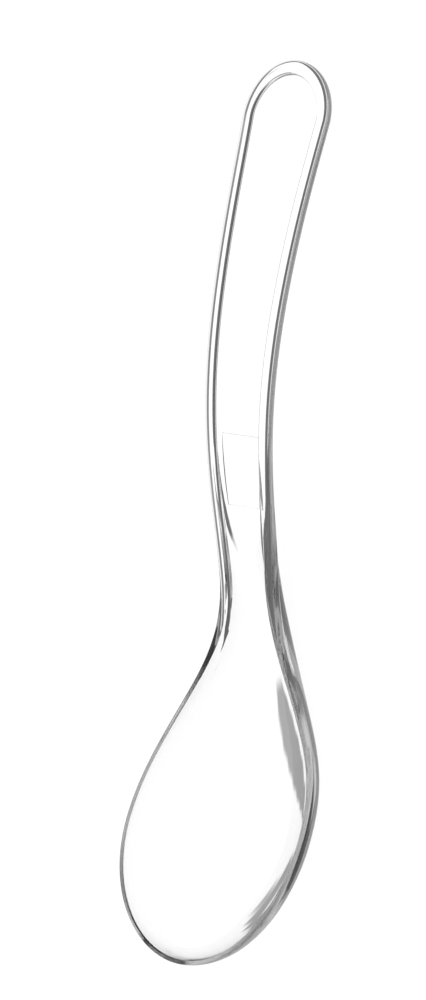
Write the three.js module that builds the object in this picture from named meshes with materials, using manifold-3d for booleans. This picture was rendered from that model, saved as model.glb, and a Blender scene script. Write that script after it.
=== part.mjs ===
import * as THREE from 'three';
import { mergeVertices } from 'three/addons/utils/BufferGeometryUtils.js';
import Module from 'manifold-3d';

// A clear salad serving spoon, moulded in one piece. Millimetres, +Z up, lying on a table on the heel of
// its bowl and the end of its handle, with +X towards the end of the handle.

// Plan: runs along the spoon, from the end of the handle to the tip of the bowl, and full widths.
const END_RUN = 18.9;
const HANDLE_RUN = 146.2;
const SHOULDER_RUN = 83;
const NOSE_RUN = 43.9;
const HANDLE_WIDTH = 32.4;
const NECK_WIDTH = 22.2;
const BOWL_WIDTH = 67.3;

// Side view: the rim's height over the end of the handle, level with the photograph's long axis.
const ARCH_AT = 75;
const ARCH_RISE = 5.69;
const HEEL_PAST_NECK = 50.5;
const HEEL_DROP = 29.9;
const TIP_DROP = 16.4;

// Section of the handle: a raised rim with a short upright side, around a recess with a leaning wall.
const RIM_WIDTH = 4;
const END_RIM_WIDTH = 4.6;
const RIM_HEIGHT = 3.8;
const RIM_ROUND = 1.7;
const RIM_SIDE = 0.5;
const RECESS = 1.25;
const INNER_ROUND = 0.5;
const FOOT_ROUND = 0.3;
const WALL_LEAN = THREE.MathUtils.degToRad(10);

// Section of the bowl: a narrow lip around the hollow.
const LIP_WIDTH = 1.5;
const LIP_ROUND = 0.7;
const LIP_INNER_ROUND = 0.5;
const BOWL_DEPTH = 18.2;
const BOWL_WALL = 1.8;
const HOLLOW_STARTS_BEFORE_NECK = 47;
const DEEPEST_BEFORE_WIDEST = 15.5;
const RIM_NARROWS_OVER = 40;

// Flat pad under the neck, where a moulding carries its marks. It is bare here.
const PAD_LENGTH = 22;
const PAD_WIDTH = 14;
const PAD_BEFORE_NECK = 33.4;
const PAD_PROUD = 0.2;
const PAD_ROOT = 1.5;

// How squarely the sections turn: 2 is an ellipse, more is a flat floor with tight corners.
const HOLLOW_START_SQUARENESS = 5;
const HOLLOW_SQUARENESS = 2;
const UNDERSIDE_START_SQUARENESS = 5;
const UNDERSIDE_SQUARENESS = 2.36;

// How far along its run each curve leaves and meets its ends, as a share of that run.
const TAPER_PULL = { leave: 0.279, meet: 0.339 };
const SHOULDER_PULL = { leave: 0.437, meet: 0.435 };
const ARCH_PULL = { leave: 0.271, meet: 0.435 };
const DROP_PULL = { leave: 0.501, meet: 0.447 };
const RISE_PULL = { leave: 0.282, meet: 0.526 };
const HOLLOW_PULL = { leave: 0.53, meet: 0.76 };
const TAPER_SLOPE = -0.059;
const NECK_SLOPE = -0.035;
const END_SLOPE = -0.01;
const TIP_SLOPE = 0.09;

// The spine inside each rounded end covers this share of the end's run.
const SPINE_SHARE = 0.25;

// The steep part of the bowl's section, next to the lip, covers this share of the way to its middle.
const WALL_SHARE = 0.02;

// Facets along the outline and across the section.
const END_STEPS = 14;
const HANDLE_STEPS = 18;
const SHOULDER_STEPS = 22;
const NOSE_STEPS = 20;
const FLOOR_STEPS = 7;
const UNDERSIDE_STEPS = 7;
const ROUND_STEPS = 4;

// Steps of the two searches: for a height along a curve, and for the lie on the table.
const HALVINGS = 40;
const LEVELLINGS = 8;

const { lerp, smoothstep } = THREE.MathUtils;

const neckAt = END_RUN + HANDLE_RUN;
const bowlAt = neckAt + SHOULDER_RUN;
const length = bowlAt + NOSE_RUN;
const heelAt = neckAt + HEEL_PAST_NECK;

// A curve from one point to the next that leaves and meets its ends at the given slopes.
function flowing(from, to, pull, leaveSlope = 0, meetSlope = 0) {
  const run = to.x - from.x;
  const leave = pull.leave * run;
  const meet = pull.meet * run;
  const first = new THREE.Vector2(from.x + leave, from.y + leave * leaveSlope);
  const second = new THREE.Vector2(to.x - meet, to.y - meet * meetSlope);
  return new THREE.CubicBezierCurve(from, first, second, to);
}

// The height of a run of curves at a place along the spoon.
function heightAt(curves, along) {
  const curve = curves.find((each) => along <= each.v3.x) ?? curves[curves.length - 1];
  let low = 0;
  let high = 1;
  for (let halving = 0; halving < HALVINGS; halving += 1) {
    const middle = (low + high) / 2;
    if (curve.getPoint(middle).x < along) low = middle;
    else high = middle;
  }
  return curve.getPoint((low + high) / 2).y;
}

const rimEnd = new THREE.Vector2(0, 0);
const rimArch = new THREE.Vector2(ARCH_AT, ARCH_RISE);
const rimHeel = new THREE.Vector2(heelAt, -HEEL_DROP);
const rimTip = new THREE.Vector2(length, -TIP_DROP);
const rimLine = [
  flowing(rimEnd, rimArch, ARCH_PULL, END_SLOPE, 0),
  flowing(rimArch, rimHeel, DROP_PULL),
  flowing(rimHeel, rimTip, RISE_PULL, 0, TIP_SLOPE),
];

// The share of the way from the handle's shallow recess to the bowl's full hollow.
const hollowLine = [
  flowing(
    new THREE.Vector2(neckAt - HOLLOW_STARTS_BEFORE_NECK, 0),
    new THREE.Vector2(bowlAt - DEEPEST_BEFORE_WIDEST, 1),
    HOLLOW_PULL,
  ),
];

function hollowShare(along) {
  return heightAt(hollowLine, along);
}

function hollowDepth(along) {
  return lerp(RECESS, BOWL_DEPTH, hollowShare(along));
}

function floorThickness(along) {
  return lerp(RIM_HEIGHT - RECESS, BOWL_WALL, hollowShare(along));
}

// The handle's broad rim, broadest at the very end, narrows to the bowl's lip over the shoulder.
function rimAt(along) {
  const broad = lerp(END_RIM_WIDTH, RIM_WIDTH, smoothstep(along, 0, END_RUN));
  const narrowed = smoothstep(along, neckAt, neckAt + RIM_NARROWS_OVER);
  return {
    narrowed,
    width: lerp(broad, LIP_WIDTH, narrowed),
    outer: lerp(RIM_ROUND, LIP_ROUND, narrowed),
    inner: lerp(INNER_ROUND, LIP_INNER_ROUND, narrowed),
  };
}

// Half of the plan outline, from the end of the handle to the tip, with the direction into the plan.
function outlineStations() {
  const end = new THREE.EllipseCurve(END_RUN, 0, END_RUN, HANDLE_WIDTH / 2, Math.PI, Math.PI / 2, true);
  const handle = flowing(
    new THREE.Vector2(END_RUN, HANDLE_WIDTH / 2),
    new THREE.Vector2(neckAt, NECK_WIDTH / 2),
    TAPER_PULL,
    TAPER_SLOPE,
    NECK_SLOPE,
  );
  const shoulder = flowing(
    new THREE.Vector2(neckAt, NECK_WIDTH / 2),
    new THREE.Vector2(bowlAt, BOWL_WIDTH / 2),
    SHOULDER_PULL,
    NECK_SLOPE,
  );
  const nose = new THREE.EllipseCurve(bowlAt, 0, NOSE_RUN, BOWL_WIDTH / 2, Math.PI / 2, 0, true);
  const runs = [[end, END_STEPS], [handle, HANDLE_STEPS], [shoulder, SHOULDER_STEPS], [nose, NOSE_STEPS]];
  const stations = [];
  for (const [curve, steps] of runs) {
    for (let step = stations.length ? 1 : 0; step <= steps; step += 1) {
      const tangent = curve.getTangent(step / steps);
      const inward = new THREE.Vector2(tangent.y, -tangent.x);
      stations.push({ edge: curve.getPoint(step / steps), inward });
    }
  }
  stations[0].edge.y = 0;
  stations[stations.length - 1].edge.y = 0;
  return stations;
}

// Where the section at a place on the outline meets the spoon's middle line.
function spineAt(along) {
  if (along < END_RUN) return END_RUN - (END_RUN - along) * SPINE_SHARE;
  if (along > bowlAt) return bowlAt + (along - bowlAt) * SPINE_SHARE;
  return along;
}

// The share of full depth at a share of the way from a section's edge to its middle.
function turned(share, squareness) {
  return (1 - (1 - share) ** squareness) ** (1 / squareness);
}

// Shares of the way from a section's edge to its middle, closest together at the edge.
function spreadShares(steps) {
  return Array.from({ length: steps }, (_, step) => ((step + 1) / steps) ** 2);
}

const floorShares = spreadShares(FLOOR_STEPS);
const undersideShares = spreadShares(UNDERSIDE_STEPS);
const roundSteps = Array.from({ length: ROUND_STEPS + 1 }, (_, step) => step);
const wallTurn = Math.PI / 2 - WALL_LEAN;
const lowRound = RIM_HEIGHT - RIM_ROUND - RIM_SIDE;

// One section: from the middle of the upper face, out over the rim and back under to the middle.
// Over the shoulder each place moves from the handle's rimmed section to the bowl's lipped one.
function sectionPoints({ edge, inward }) {
  const spine = new THREE.Vector2(spineAt(edge.x), 0);
  const { narrowed, width, outer, inner } = rimAt(edge.x);
  const share = hollowShare(spine.x);
  const depth = hollowDepth(spine.x);
  const underDepth = depth + floorThickness(spine.x);
  const hollowTurn = lerp(HOLLOW_START_SQUARENESS, HOLLOW_SQUARENESS, share);
  const underTurn = lerp(UNDERSIDE_START_SQUARENESS, UNDERSIDE_SQUARENESS, share);
  const fall = RECESS - (inner + FOOT_ROUND) * (1 - Math.cos(wallTurn));
  const foot = width - inner + (inner + FOOT_ROUND) * Math.sin(wallTurn) + fall * Math.tan(WALL_LEAN);

  const inset = (distance) => edge.clone().addScaledVector(inward, distance);
  const hollow = (way) => [inset(width).lerp(spine, way), lerp(inner, depth, turned(way, hollowTurn))];
  const under = (way) => [edge.clone().lerp(spine, way), lerp(outer, underDepth, turned(way, underTurn))];
  const places = [];
  const place = ([plan, below], [lipPlan, lipBelow] = [plan, below]) => {
    const there = plan.clone().lerp(lipPlan, narrowed);
    const height = heightAt(rimLine, there.x) - lerp(below, lipBelow, narrowed);
    places.push(new THREE.Vector3(length / 2 - there.x, Math.max(there.y, 0), height));
  };

  for (const way of floorShares.toReversed()) {
    const below = lerp(RECESS, depth, turned(way, HOLLOW_SQUARENESS));
    place([inset(foot).lerp(spine, way), below], hollow(lerp(WALL_SHARE, 1, way)));
  }
  for (const step of roundSteps) {
    const angle = (step / ROUND_STEPS) * wallTurn;
    const left = 1 - step / (ROUND_STEPS + 1);
    const below = RECESS - FOOT_ROUND * (1 - Math.cos(angle));
    place([inset(foot - FOOT_ROUND * Math.sin(angle)), below], hollow(WALL_SHARE * left ** 2));
  }
  for (const step of roundSteps.toReversed()) {
    const angle = (step / ROUND_STEPS) * lerp(wallTurn, Math.PI / 2, narrowed);
    place([inset(width - inner * (1 - Math.sin(angle))), inner * (1 - Math.cos(angle))]);
  }
  for (const step of roundSteps) {
    const angle = (step / ROUND_STEPS) * (Math.PI / 2);
    place([inset(outer * (1 - Math.sin(angle))), outer * (1 - Math.cos(angle))]);
  }
  for (const step of roundSteps) {
    const angle = (step / ROUND_STEPS) * (Math.PI / 2);
    const come = (step + 1) / (ROUND_STEPS + 1);
    const below = RIM_HEIGHT - lowRound * (1 - Math.sin(angle));
    place([inset(lowRound * (1 - Math.cos(angle))), below], under(WALL_SHARE * come ** 2));
  }
  for (const way of undersideShares) {
    const below = lerp(RIM_HEIGHT, underDepth, turned(way, UNDERSIDE_SQUARENESS));
    place([inset(lowRound).lerp(spine, way), below], under(lerp(WALL_SHARE, 1, way)));
  }
  return places;
}

// The moulding: its half sections joined along the outline, and the same half mirrored.
function spoonShell() {
  const sections = outlineStations().map(sectionPoints);
  const perSection = sections[0].length;
  const positions = [];
  const indices = [];
  for (const side of [1, -1]) {
    const first = positions.length / 3;
    for (const point of sections.flat()) positions.push(point.x, point.y * side, point.z);
    for (let along = 0; along < sections.length - 1; along += 1) {
      for (let across = 0; across < perSection - 1; across += 1) {
        const a = first + along * perSection + across;
        const b = a + perSection;
        const quad = side > 0 ? [a, a + 1, b + 1, a, b + 1, b] : [a, b + 1, a + 1, a, b, b + 1];
        indices.push(...quad);
      }
    }
  }
  const geometry = new THREE.BufferGeometry();
  geometry.setAttribute('position', new THREE.Float32BufferAttribute(positions, 3));
  geometry.setIndex(indices);
  return mergeVertices(geometry);
}

// The flat pad, rooted in the floor and just proud of the underside at both of its ends.
function markPad() {
  const underside = (along) => new THREE.Vector2(
    length / 2 - along,
    heightAt(rimLine, along) - hollowDepth(along) - floorThickness(along) - PAD_PROUD,
  );
  const middle = neckAt - PAD_BEFORE_NECK;
  const near = underside(middle - PAD_LENGTH / 2);
  const far = underside(middle + PAD_LENGTH / 2);
  const slope = near.clone().sub(far);
  const pad = new THREE.BoxGeometry(slope.length(), PAD_WIDTH, PAD_ROOT);
  pad.translate(0, 0, PAD_ROOT / 2);
  pad.rotateY(-slope.angle());
  pad.translate((near.x + far.x) / 2, 0, (near.y + far.y) / 2);
  pad.deleteAttribute('normal');
  pad.deleteAttribute('uv');
  return mergeVertices(pad);
}

// The same geometry turned and lowered until the bowl and the end of the handle both touch z = 0.
function layOnTable(geometry) {
  const place = geometry.getAttribute('position');
  for (let turn = 0; turn < LEVELLINGS; turn += 1) {
    const lowest = [1, -1].map((side) => {
      let best = null;
      for (let index = 0; index < place.count; index += 1) {
        const point = new THREE.Vector3().fromBufferAttribute(place, index);
        if (point.x * side > 0 && (!best || point.z < best.z)) best = point;
      }
      return best;
    });
    const [handle, bowl] = lowest;
    geometry.rotateY(Math.atan2(handle.z - bowl.z, handle.x - bowl.x));
  }
  geometry.computeBoundingBox();
  const { min, max } = geometry.boundingBox;
  geometry.translate(-(min.x + max.x) / 2, 0, -min.z);
  geometry.computeVertexNormals();
  return geometry;
}

const wasm = await Module();
wasm.setup();

function solidOf(geometry) {
  return new wasm.Manifold(new wasm.Mesh({
    numProp: 3,
    vertProperties: geometry.getAttribute('position').array,
    triVerts: Uint32Array.from(geometry.getIndex().array),
  }));
}

function geometryOf(solid) {
  const mesh = solid.getMesh();
  const geometry = new THREE.BufferGeometry();
  geometry.setAttribute('position', new THREE.Float32BufferAttribute(mesh.vertProperties, 3));
  geometry.setIndex([...mesh.triVerts]);
  return geometry;
}

const clearPlastic = new THREE.MeshStandardMaterial({
  color: 0xf4f7f8,
  roughness: 0.06,
  metalness: 0,
  transparent: true,
  opacity: 0.35,
});

const moulding = solidOf(spoonShell()).add(solidOf(markPad()));
const salad_spoon = new THREE.Mesh(layOnTable(geometryOf(moulding)), clearPlastic);
salad_spoon.name = 'salad_spoon';

const spoon = new THREE.Group();
spoon.add(salad_spoon);

export default spoon;
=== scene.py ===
import math

import bpy
from mathutils import Matrix, Vector

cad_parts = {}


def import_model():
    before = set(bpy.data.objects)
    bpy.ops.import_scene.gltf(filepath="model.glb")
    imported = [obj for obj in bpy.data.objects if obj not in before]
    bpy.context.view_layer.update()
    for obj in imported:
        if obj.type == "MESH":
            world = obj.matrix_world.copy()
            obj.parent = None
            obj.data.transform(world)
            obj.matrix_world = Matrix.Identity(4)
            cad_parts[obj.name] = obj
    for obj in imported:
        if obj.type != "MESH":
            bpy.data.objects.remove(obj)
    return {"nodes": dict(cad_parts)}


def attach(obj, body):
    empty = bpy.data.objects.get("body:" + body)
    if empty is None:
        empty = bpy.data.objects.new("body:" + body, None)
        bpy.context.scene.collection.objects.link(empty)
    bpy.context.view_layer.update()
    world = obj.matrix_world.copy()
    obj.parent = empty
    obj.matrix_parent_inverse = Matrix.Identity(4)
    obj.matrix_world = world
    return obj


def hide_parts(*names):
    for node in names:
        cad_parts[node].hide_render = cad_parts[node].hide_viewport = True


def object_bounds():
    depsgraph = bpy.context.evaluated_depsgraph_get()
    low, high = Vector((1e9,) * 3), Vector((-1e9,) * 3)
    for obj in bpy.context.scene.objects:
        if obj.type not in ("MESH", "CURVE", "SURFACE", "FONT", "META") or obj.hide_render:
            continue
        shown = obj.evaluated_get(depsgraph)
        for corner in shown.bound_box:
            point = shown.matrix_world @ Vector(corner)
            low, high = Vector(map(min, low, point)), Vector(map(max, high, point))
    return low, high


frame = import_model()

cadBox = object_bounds()
print("frame loaded:", sorted(frame["nodes"]))

# sizes in millimetres along the moulding, from the end of the handle to the tip of the bowl
spoonSizes = {
    "endRun": 18.9, "handleRun": 146.2, "shoulderRun": 83, "noseRun": 43.9,
    "handleWidth": 32.4, "neckWidth": 22.2, "bowlWidth": 67.3,
    "archAt": 75, "archRise": 5.69, "heelPastNeck": 50.5, "heelDrop": 29.9, "tipDrop": 16.4,
    "rimWidth": 4, "endRimWidth": 4.6, "rimHeight": 3.8, "rimRound": 1.7, "rimSide": 0.5,
    "recess": 1.25, "innerRound": 0.5, "footRound": 0.3, "wallLean": 10,
    "lipWidth": 1.5, "lipRound": 0.7, "lipInnerRound": 0.5,
    "bowlDepth": 18.2, "bowlWall": 1.8,
    "hollowStartsBeforeNeck": 47, "deepestBeforeWidest": 15.5,
    "rimNarrowsOver": 40,
    "hollowSquareness": 2, "hollowStartSquareness": 5, "underSquareness": 2.36, "underStartSquareness": 5,
    "spineShare": 0.25,
    "taperLeave": 0.279, "taperMeet": 0.339, "taperSlope": -0.059, "neckSlope": -0.035,
    "shoulderLeave": 0.437, "shoulderMeet": 0.435, "archLeave": 0.271, "archMeet": 0.435, "endSlope": -0.01,
    "dropLeave": 0.501, "dropMeet": 0.447, "riseLeave": 0.282, "riseMeet": 0.526, "tipSlope": 0.09,
    "hollowLeave": 0.53, "hollowMeet": 0.76,
    "endSteps": 30, "handleSteps": 40, "shoulderSteps": 48, "noseSteps": 44,
    "hollowSteps": 14, "roundSteps": 7, "crestSteps": 3, "underSteps": 14, "wallShare": 0.02,
}
modelling = {"halvings": 40, "levellings": 8, "smoothAngle": 40,
             "startRadius": 0.03, "weldWithin": 1e-6}   # the last two in metres
mm = 0.001
neckAt = spoonSizes["endRun"] + spoonSizes["handleRun"]
bowlAt = neckAt + spoonSizes["shoulderRun"]
fullRun = bowlAt + spoonSizes["noseRun"]


def blendTo(a, b, share):
    return a + (b - a) * share


def flowing(start, stop, leave, meet, leaveSlope=0.0, meetSlope=0.0):
    run = stop[0] - start[0]
    first = (start[0] + leave * run, start[1] + leave * run * leaveSlope)
    second = (stop[0] - meet * run, stop[1] - meet * run * meetSlope)
    return start, first, second, stop


def curvePoint(curve, t):
    a, b, c, d = (Vector(p) for p in curve)
    s = 1 - t
    return a * s ** 3 + b * 3 * s * s * t + c * 3 * s * t * t + d * t ** 3


def curveHeading(curve, t):
    a, b, c, d = (Vector(p) for p in curve)
    s = 1 - t
    return ((b - a) * 3 * s * s + (c - b) * 6 * s * t + (d - c) * 3 * t * t).normalized()


def heightAt(curves, along):
    curve = next((c for c in curves if along <= c[3][0]), curves[-1])
    low, high = 0.0, 1.0
    for halving in range(modelling["halvings"]):
        middle = (low + high) / 2
        if curvePoint(curve, middle).x < along:
            low = middle
        else:
            high = middle
    return curvePoint(curve, (low + high) / 2).y


rimEnd, rimArch = (0, 0), (spoonSizes["archAt"], spoonSizes["archRise"])
rimHeel = (neckAt + spoonSizes["heelPastNeck"], -spoonSizes["heelDrop"])
rimTip = (fullRun, -spoonSizes["tipDrop"])
rimLine = [flowing(rimEnd, rimArch, spoonSizes["archLeave"], spoonSizes["archMeet"], spoonSizes["endSlope"]),
           flowing(rimArch, rimHeel, spoonSizes["dropLeave"], spoonSizes["dropMeet"]),
           flowing(rimHeel, rimTip, spoonSizes["riseLeave"], spoonSizes["riseMeet"],
                   meetSlope=spoonSizes["tipSlope"])]
hollowLine = [flowing((neckAt - spoonSizes["hollowStartsBeforeNeck"], 0),
                      (bowlAt - spoonSizes["deepestBeforeWidest"], 1),
                      spoonSizes["hollowLeave"], spoonSizes["hollowMeet"])]


def outlineStations():
    s = spoonSizes
    stations = []
    for step in range(s["endSteps"] + 1):          # round end of the handle
        a = step / s["endSteps"] * math.pi / 2
        x, y = s["endRun"] * (1 - math.cos(a)), s["handleWidth"] / 2 * math.sin(a)
        out = Vector((-math.cos(a) / s["endRun"], math.sin(a) / (s["handleWidth"] / 2))).normalized()
        stations.append((Vector((x, y)), -out))
    handle = flowing((s["endRun"], s["handleWidth"] / 2), (neckAt, s["neckWidth"] / 2),
                     s["taperLeave"], s["taperMeet"], s["taperSlope"], s["neckSlope"])
    shoulder = flowing((neckAt, s["neckWidth"] / 2), (bowlAt, s["bowlWidth"] / 2),
                       s["shoulderLeave"], s["shoulderMeet"], s["neckSlope"])
    for curve, steps in ((handle, s["handleSteps"]), (shoulder, s["shoulderSteps"])):
        for step in range(1, steps + 1):
            heading = curveHeading(curve, step / steps)
            stations.append((curvePoint(curve, step / steps), Vector((heading.y, -heading.x))))
    for step in range(1, s["noseSteps"] + 1):      # round front of the bowl
        a = step / s["noseSteps"] * math.pi / 2
        x, y = bowlAt + s["noseRun"] * math.sin(a), s["bowlWidth"] / 2 * math.cos(a)
        out = Vector((math.sin(a) / s["noseRun"], math.cos(a) / (s["bowlWidth"] / 2))).normalized()
        stations.append((Vector((x, max(y, 0))), -out))
    return stations


def turned(share, squareness):
    return (1 - (1 - share) ** squareness) ** (1 / squareness)


def smoothShare(value, start, stop):
    share = min(max((value - start) / (stop - start), 0), 1)
    return share * share * (3 - 2 * share)


def sectionPlaces(edge, inward):
    s = spoonSizes
    spineX = edge.x
    if edge.x < s["endRun"]:
        spineX = s["endRun"] - (s["endRun"] - edge.x) * s["spineShare"]
    elif edge.x > bowlAt:
        spineX = bowlAt + (edge.x - bowlAt) * s["spineShare"]
    spine = Vector((spineX, 0))
    narrow = smoothShare(edge.x, neckAt, neckAt + s["rimNarrowsOver"])
    width = blendTo(s["endRimWidth"], s["rimWidth"], smoothShare(edge.x, 0, s["endRun"]))
    width = blendTo(width, s["lipWidth"], narrow)
    outer = blendTo(s["rimRound"], s["lipRound"], narrow)
    inner = blendTo(s["innerRound"], s["lipInnerRound"], narrow)
    share = heightAt(hollowLine, spineX) if spineX > hollowLine[0][0][0] else 0
    share = 1 if spineX > hollowLine[0][3][0] else share
    lean = math.radians(s["wallLean"])
    steep = math.pi / 2 - lean
    fall = s["recess"] - (inner + s["footRound"]) * (1 - math.cos(steep))
    foot = width - inner + (inner + s["footRound"]) * math.sin(steep) + fall * math.tan(lean)

    depth = blendTo(s["recess"], s["bowlDepth"], share)
    height = blendTo(s["rimHeight"], s["bowlDepth"] + s["bowlWall"], share)
    hollowTurn = blendTo(s["hollowStartSquareness"], s["hollowSquareness"], share)
    underTurn = blendTo(s["underStartSquareness"], s["underSquareness"], share)
    low = s["rimHeight"] - s["rimRound"] - s["rimSide"]
    wall, places = s["wallShare"], []

    def inset(distance):
        return edge + inward * distance

    def hollow(t):
        return inset(width).lerp(spine, t), blendTo(inner, depth, turned(t, hollowTurn))

    def under(t):
        return edge.lerp(spine, t), blendTo(outer, height, turned(t, underTurn))

    def between(rim, lip):
        return rim[0].lerp(lip[0], narrow), blendTo(rim[1], lip[1], narrow)

    for step in range(s["hollowSteps"], 0, -1):    # from the middle of the floor
        t = (step / s["hollowSteps"]) ** 2
        rim = inset(foot).lerp(spine, t), blendTo(s["recess"], depth, turned(t, s["hollowSquareness"]))
        places.append(between(rim, hollow(blendTo(wall, 1, t))))
    for step in range(s["roundSteps"] + 1):        # up the foot of the wall
        t = step / s["roundSteps"]
        over, up = math.sin(steep * t), 1 - math.cos(steep * t)
        rim = inset(foot - s["footRound"] * over), s["recess"] - s["footRound"] * up
        left = 1 - step / (s["roundSteps"] + 1)
        places.append(between(rim, hollow(wall * left ** 2)))
    for step in range(s["roundSteps"] + 1):        # over the inner edge of the rim
        t = 1 - step / s["roundSteps"]
        a = t * blendTo(steep, math.pi / 2, narrow)
        places.append((inset(width - inner * (1 - math.sin(a))), inner * (1 - math.cos(a))))
    for step in range(1, s["crestSteps"]):         # across its crest
        places.append((inset(blendTo(width - inner, outer, step / s["crestSteps"])), 0))
    for step in range(s["roundSteps"] + 1):        # over its outer edge
        a = step / s["roundSteps"] * math.pi / 2
        places.append((inset(outer * (1 - math.sin(a))), outer * (1 - math.cos(a))))
    for step in range(s["roundSteps"] + 1):        # round the lower edge
        a = step / s["roundSteps"] * math.pi / 2
        come = (step + 1) / (s["roundSteps"] + 1)
        rim = inset(low * (1 - math.cos(a))), s["rimHeight"] - low * (1 - math.sin(a))
        places.append(between(rim, under(wall * come ** 2)))
    for step in range(1, s["underSteps"] + 1):     # under to the middle
        t = (step / s["underSteps"]) ** 2
        rim = inset(low).lerp(spine, t), blendTo(s["rimHeight"], height, turned(t, s["underSquareness"]))
        places.append(between(rim, under(blendTo(wall, 1, t))))
    return [Vector((fullRun / 2 - p.x, max(p.y, 0), heightAt(rimLine, p.x) - below)) * mm
            for p, below in places]


def deselectAll():
    bpy.ops.object.select_all(action="DESELECT")


def buildSpoon():
    half = [sectionPlaces(edge, inward) for edge, inward in outlineStations()]
    flip = Vector((1, -1, 1))
    around = half + [[p * flip for p in section] for section in half[-2:0:-1]]
    deselectAll()
    bpy.ops.mesh.primitive_circle_add(vertices=len(around), radius=modelling["startRadius"],
                                      fill_type="NOTHING")
    spoon = bpy.context.object
    spoon.name = "clearSpoon"
    mesh = spoon.data
    mesh.attributes.new("station", "INT", "POINT").data.foreach_set("value", list(range(len(around))))
    for ring in range(len(around[0])):
        if ring:
            bpy.ops.object.mode_set(mode="EDIT")
            bpy.ops.mesh.extrude_edges_move()
            bpy.ops.object.mode_set(mode="OBJECT")
        station = mesh.attributes["station"].data
        for vertex in mesh.vertices:
            if vertex.select:
                vertex.co = around[station[vertex.index].value][ring]
    bpy.ops.object.mode_set(mode="EDIT")
    bpy.ops.mesh.select_all(action="SELECT")
    bpy.ops.mesh.remove_doubles(threshold=modelling["weldWithin"])
    bpy.ops.mesh.normals_make_consistent(inside=False)
    bpy.ops.object.mode_set(mode="OBJECT")
    mesh.attributes.remove(mesh.attributes["station"])
    return spoon


padSizes = {"length": 22, "width": 14, "root": 1.5, "beforeNeck": 33.4, "proud": 0.2}


def addPad(spoon):
    def underside(along):
        share = heightAt(hollowLine, along)
        depth = blendTo(spoonSizes["rimHeight"], spoonSizes["bowlDepth"] + spoonSizes["bowlWall"], share)
        return Vector((fullRun / 2 - along, 0, heightAt(rimLine, along) - depth - padSizes["proud"])) * mm
    middle = neckAt - padSizes["beforeNeck"]
    near, far = underside(middle - padSizes["length"] / 2), underside(middle + padSizes["length"] / 2)
    slope = near - far
    lie = Matrix.Rotation(-math.atan2(slope.z, slope.x), 4, "Y")
    deselectAll()
    bpy.ops.mesh.primitive_cube_add(size=1)
    pad = bpy.context.object
    sizes = Matrix.Diagonal((slope.length, padSizes["width"] * mm, padSizes["root"] * mm, 1))
    pad.data.transform(Matrix.Translation((0, 0, padSizes["root"] * mm / 2)) @ sizes)
    pad.data.transform(Matrix.Translation((near + far) / 2) @ lie)
    deselectAll()
    spoon.select_set(True)
    bpy.context.view_layer.objects.active = spoon
    join = spoon.modifiers.new("pad", "BOOLEAN")
    join.operation = "UNION"
    join.solver = "EXACT"
    join.object = pad
    bpy.ops.object.modifier_apply(modifier="pad")
    bpy.data.objects.remove(pad)


def layOnTable(spoon):
    for turn in range(modelling["levellings"]):
        bowl = min((v.co for v in spoon.data.vertices if v.co.x < 0), key=lambda p: p.z)
        handle = min((v.co for v in spoon.data.vertices if v.co.x > 0), key=lambda p: p.z)
        lie = math.atan2(handle.z - bowl.z, handle.x - bowl.x)
        spoon.data.transform(Matrix.Rotation(lie, 4, "Y"))
    xs = [v.co.x for v in spoon.data.vertices]
    lowest = min(v.co.z for v in spoon.data.vertices)
    spoon.data.transform(Matrix.Translation((-(min(xs) + max(xs)) / 2, 0, -lowest)))


def fitInside(spoon, box):
    low, high = (Vector(corner) for corner in box)
    points = [v.co for v in spoon.data.vertices]
    least = Vector([min(p[k] for p in points) for k in range(3)])
    most = Vector([max(p[k] for p in points) for k in range(3)])
    hair = Matrix.Diagonal([(high[k] - low[k]) / (most[k] - least[k]) for k in range(3)] + [1])
    fromMiddle = Matrix.Translation(-(least + most) / 2)
    toMiddle = Matrix.Translation((low + high) / 2)
    spoon.data.transform(toMiddle @ hair @ fromMiddle)


clearPlastic = {"ior": 1.57, "polish": (0.006, 0.022), "hazeScale": 70, "flowStretch": (1, 5, 5),
                "hazeDetail": 4, "hazeFrom": 0.35, "hazeTo": 0.7,
                "rippleScale": 22, "rippleDetail": 1, "rippleHeight": 0.00012, "shadow": 0.86}


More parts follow.
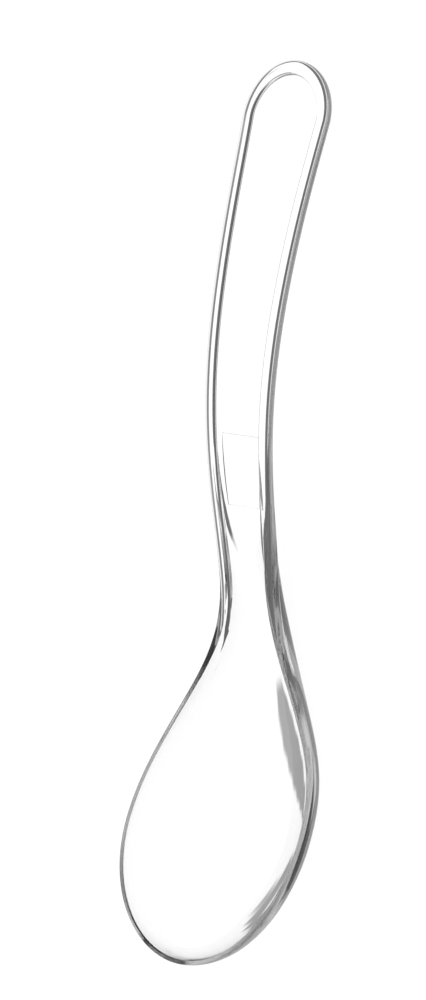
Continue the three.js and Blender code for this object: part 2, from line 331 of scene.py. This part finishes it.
def makeClearPlastic():
    material = bpy.data.materials.new("clearPlastic")
    material.use_nodes = True
    nodes, links = material.node_tree.nodes, material.node_tree.links
    shader = nodes["Principled BSDF"]
    shader.inputs["Base Color"].default_value = (1, 1, 1, 1)
    shader.inputs["IOR"].default_value = clearPlastic["ior"]
    shader.inputs["Transmission Weight"].default_value = 1
    coord = nodes.new("ShaderNodeTexCoord")
    flow = nodes.new("ShaderNodeMapping")            # the melt flowed along the spoon
    flow.inputs["Scale"].default_value = clearPlastic["flowStretch"]
    links.new(coord.outputs["Object"], flow.inputs["Vector"])
    haze = nodes.new("ShaderNodeTexNoise")
    haze.inputs["Scale"].default_value = clearPlastic["hazeScale"]
    haze.inputs["Detail"].default_value = clearPlastic["hazeDetail"]
    links.new(flow.outputs["Vector"], haze.inputs["Vector"])
    polish = nodes.new("ShaderNodeMapRange")
    polish.inputs["From Min"].default_value = clearPlastic["hazeFrom"]
    polish.inputs["From Max"].default_value = clearPlastic["hazeTo"]
    polish.inputs["To Min"].default_value, polish.inputs["To Max"].default_value = clearPlastic["polish"]
    links.new(haze.outputs["Fac"], polish.inputs["Value"])
    links.new(polish.outputs["Result"], shader.inputs["Roughness"])
    ripple = nodes.new("ShaderNodeTexNoise")
    ripple.inputs["Scale"].default_value = clearPlastic["rippleScale"]
    ripple.inputs["Detail"].default_value = clearPlastic["rippleDetail"]
    links.new(coord.outputs["Object"], ripple.inputs["Vector"])
    bump = nodes.new("ShaderNodeBump")
    bump.inputs["Distance"].default_value = clearPlastic["rippleHeight"]
    links.new(ripple.outputs["Fac"], bump.inputs["Height"])
    links.new(bump.outputs["Normal"], shader.inputs["Normal"])
    shadow = nodes.new("ShaderNodeBsdfTransparent")
    shadow.inputs["Color"].default_value = (clearPlastic["shadow"],) * 3 + (1,)
    path = nodes.new("ShaderNodeLightPath")
    mix = nodes.new("ShaderNodeMixShader")
    links.new(path.outputs["Is Shadow Ray"], mix.inputs["Fac"])
    links.new(shader.outputs[0], mix.inputs[1])
    links.new(shadow.outputs[0], mix.inputs[2])
    links.new(mix.outputs[0], nodes["Material Output"].inputs["Surface"])
    return material


spoon = buildSpoon()
addPad(spoon)
layOnTable(spoon)
fitInside(spoon, cadBox)
deselectAll()
spoon.select_set(True)
bpy.context.view_layer.objects.active = spoon
bpy.ops.object.shade_smooth_by_angle(angle=math.radians(modelling["smoothAngle"]))
spoon.data.materials.append(makeClearPlastic())
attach(spoon, "root")
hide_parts("salad_spoon")
print("spoon:", len(spoon.data.polygons), "faces")

view = {"azimuth": 17.426, "elevation": 55.166, "roll": -102.284, "distance": 1.4, "lens": 156.64,
        "lookAt": (0, 0, 0.02), "across": -0.011259, "upward": 0.003937, "sensor": 36}


def viewAxes():
    azimuth, elevation, roll = (math.radians(view[k]) for k in ("azimuth", "elevation", "roll"))
    back = Vector((math.sin(azimuth) * math.cos(elevation), -math.cos(azimuth) * math.cos(elevation),
                   math.sin(elevation)))
    level = Vector((math.cos(azimuth), math.sin(azimuth), 0))
    right = level * math.cos(roll) + back.cross(level) * math.sin(roll)
    return right, back.cross(right), back


floorLook = {"size": 12.0, "under": 0.0002, "white": 0.95, "glow": 0.7}


def makeFloor():
    deselectAll()
    bpy.ops.mesh.primitive_plane_add(size=floorLook["size"], location=(0, 0, -floorLook["under"]))
    floor = bpy.context.object
    floor.name = "floor"
    material = bpy.data.materials.new("paleFloor")
    material.use_nodes = True
    nodes, links = material.node_tree.nodes, material.node_tree.links
    nodes.remove(nodes["Principled BSDF"])
    diffuse = nodes.new("ShaderNodeBsdfDiffuse")
    diffuse.inputs["Color"].default_value = (floorLook["white"],) * 3 + (1,)
    glow = nodes.new("ShaderNodeEmission")
    path = nodes.new("ShaderNodeLightPath")
    share = nodes.new("ShaderNodeMath")
    share.operation = "MULTIPLY"
    links.new(path.outputs["Is Camera Ray"], share.inputs[0])
    share.inputs[1].default_value = floorLook["glow"]
    mix = nodes.new("ShaderNodeMixShader")
    links.new(share.outputs[0], mix.inputs["Fac"])
    links.new(diffuse.outputs[0], mix.inputs[1])
    links.new(glow.outputs[0], mix.inputs[2])
    links.new(mix.outputs[0], nodes["Material Output"].inputs["Surface"])
    floor.data.materials.append(material)
    floor.visible_transmission = False               # clear plastic shows the surroundings instead
    floor.visible_glossy = False


# what clear plastic shows, in degrees across and up from the photograph's line of sight
surroundings = {
    "window": (-10, 15, -22, 14), "windowLevel": 1.1, "soft": 0.8,
    "cardRight": 9.4, "cardTop": (-2.83, -0.125), "cardFoot": (-0.75, 0.53), "cardShoulder": (-0.385, 0.235),
    "cardLevel": 0.4, "cardSoft": 0.25,
    "bandLeft": 3, "bandRight": 9.5, "bandTop": (-11.14, -0.51), "bandFoot": (-12.14, -0.51),
    "bandLevel": 0.42, "leastFacing": 0.02, "fadeFacing": 0.05,
    "dark": 0.12, "farFrom": 28, "farTo": 40, "farLevel": 1.0,
    "sideLow": 0.2, "sideHigh": 0.85, "sideFrom": 0, "sideTo": 5, "sideFade": 1,
    "guided": 0.08, "guidedFew": 0.32, "guidedMany": 0.3, "guidedUp": 0.3,
    "once": 0.5, "few": 2.5, "more": 6.5, "many": 9.5, "countSoft": 0.1, "upFrom": 0.4, "upTo": 0.75,
    "skyLow": 0.7, "skyHigh": 0.8, "skyFrom": -0.6, "skyTo": 0.1, "light": 0.55,
}


def makeWorld():
    s = surroundings
    world = bpy.data.worlds.new("studio")
    bpy.context.scene.world = world
    world.use_nodes = True
    nodes, links = world.node_tree.nodes, world.node_tree.links
    right, up, back = viewAxes()
    coord = nodes.new("ShaderNodeTexCoord")
    path = nodes.new("ShaderNodeLightPath")

    def feed(socket, value):
        if isinstance(value, bpy.types.NodeSocket):
            links.new(value, socket)
        else:
            socket.default_value = value

    def calc(operation, a, b=0.0):
        node = nodes.new("ShaderNodeMath")
        node.operation = operation
        feed(node.inputs[0], a)
        feed(node.inputs[1], b)
        return node.outputs[0]

    def product(*values):
        whole = values[0]
        for value in values[1:]:
            whole = calc("MULTIPLY", whole, value)
        return whole

    def blend(share, a, b):
        node = nodes.new("ShaderNodeMix")
        node.data_type = "FLOAT"
        for name, value in (("Factor", share), ("A", a), ("B", b)):
            feed(node.inputs[name], value)
        return node.outputs["Result"]

    def ramp(value, start, stop, low=0.0, high=1.0):
        node = nodes.new("ShaderNodeMapRange")
        node.interpolation_type = "SMOOTHSTEP"
        for name, number in (("Value", value), ("From Min", start), ("From Max", stop), ("To Min", low),
                             ("To Max", high)):
            feed(node.inputs[name], number)
        return node.outputs["Result"]

    def towards(axis):
        node = nodes.new("ShaderNodeVectorMath")
        node.operation = "DOT_PRODUCT"
        links.new(coord.outputs["Generated"], node.inputs[0])
        node.inputs[1].default_value = axis
        return node.outputs["Value"]

    facing = towards(-back)
    ahead = calc("MAXIMUM", facing, s["leastFacing"])
    across = calc("DEGREES", calc("ARCTAN2", towards(right), ahead))
    above = calc("DEGREES", calc("ARCTAN2", towards(up), ahead))
    height = towards((0, 0, 1))

    def past(value, at, soft):
        return ramp(value, at - soft, at + soft)

    def before(value, at, soft):
        return ramp(value, at - soft, at + soft, 1, 0)

    leftEdge, rightEdge, lowEdge, topEdge = s["window"]
    column = product(past(across, leftEdge, s["soft"]), before(across, rightEdge, s["soft"]),
                     before(above, topEdge, s["soft"]), ramp(facing, 0, s["fadeFacing"]))
    lit = product(column, past(above, lowEdge, s["soft"]), s["windowLevel"])

    def sloping(line):
        return calc("ADD", above, product(across, line[1])), line[0], s["cardSoft"]

    card = product(before(across, s["cardRight"], s["cardSoft"]), before(*sloping(s["cardTop"])),
                   past(*sloping(s["cardFoot"])), before(*sloping(s["cardShoulder"])))
    lit = blend(card, lit, calc("MINIMUM", lit, s["cardLevel"]))
    band = product(past(across, s["bandLeft"], s["cardSoft"]), before(across, s["bandRight"], s["cardSoft"]),
                   before(*sloping(s["bandTop"])), past(*sloping(s["bandFoot"])))
    lit = blend(band, lit, calc("MINIMUM", lit, s["bandLevel"]))

    side = ramp(above, s["sideFrom"], s["sideTo"], s["sideLow"], s["sideHigh"])
    beside = product(ramp(across, 0, s["sideFade"]), ramp(facing, 0, s["fadeFacing"]))
    around = blend(beside, s["dark"], side)
    farFrom, farTo = (math.cos(math.radians(s[k])) for k in ("farFrom", "farTo"))
    around = blend(ramp(facing, farTo, farFrom, 1, 0), around, s["farLevel"])
    sky = ramp(height, s["skyFrom"], s["skyTo"], s["skyLow"], s["skyHigh"])

    # light that turned back inside the plastic comes out dim, in lines along the rims
    depth = path.outputs["Glossy Depth"]
    turnedBack = past(depth, s["once"], s["countSoft"])
    guided = blend(past(depth, s["few"], s["countSoft"]), s["guided"], s["guidedFew"])
    guided = blend(past(depth, s["more"], s["countSoft"]), guided, s["guided"])
    guided = blend(past(depth, s["many"], s["countSoft"]), guided, s["guidedMany"])
    guided = calc("ADD", guided, ramp(height, s["upFrom"], s["upTo"], 0, s["guidedUp"]))
    entered = past(path.outputs["Transmission Depth"], s["once"], s["countSoft"])
    shown = blend(entered, sky, blend(turnedBack, calc("MAXIMUM", lit, around), guided))

    sharp = calc("MAXIMUM", path.outputs["Is Transmission Ray"], path.outputs["Is Glossy Ray"])
    plain = blend(path.outputs["Is Camera Ray"], s["light"], 1.0)
    background = nodes["Background"]
    background.inputs["Color"].default_value = (1, 1, 1, 1)
    links.new(blend(sharp, plain, shown), background.inputs["Strength"])


softbox = {"power": 16, "size": 1.0, "height": 1.3}


def makeSoftbox():
    deselectAll()
    bpy.ops.object.light_add(type="AREA", location=(0, 0, softbox["height"]))
    lamp = bpy.context.object
    lamp.data.energy = softbox["power"]
    lamp.data.size = softbox["size"]
    lamp.visible_transmission = False
    lamp.visible_glossy = False


def makeCamera():
    right, up, back = viewAxes()
    deselectAll()
    bpy.ops.object.camera_add()
    camera = bpy.context.object
    aim = Vector(view["lookAt"]) + right * view["across"] + up * view["upward"]
    turn = Matrix((right, up, back)).transposed().to_4x4()
    camera.matrix_world = Matrix.Translation(aim + back * view["distance"]) @ turn
    camera.data.lens = view["lens"]
    camera.data.sensor_width = view["sensor"]
    bpy.context.scene.camera = camera


makeFloor()
makeWorld()
makeSoftbox()
makeCamera()
bpy.context.scene.view_settings.view_transform = "Standard"
bounces = 24                                         # the rims guide light far
bpy.context.scene.cycles.max_bounces = bounces
bpy.context.scene.cycles.transmission_bounces = bounces
bpy.context.scene.cycles.glossy_bounces = bounces
bpy.context.scene.cycles.transparent_max_bounces = bounces
print("stage set")
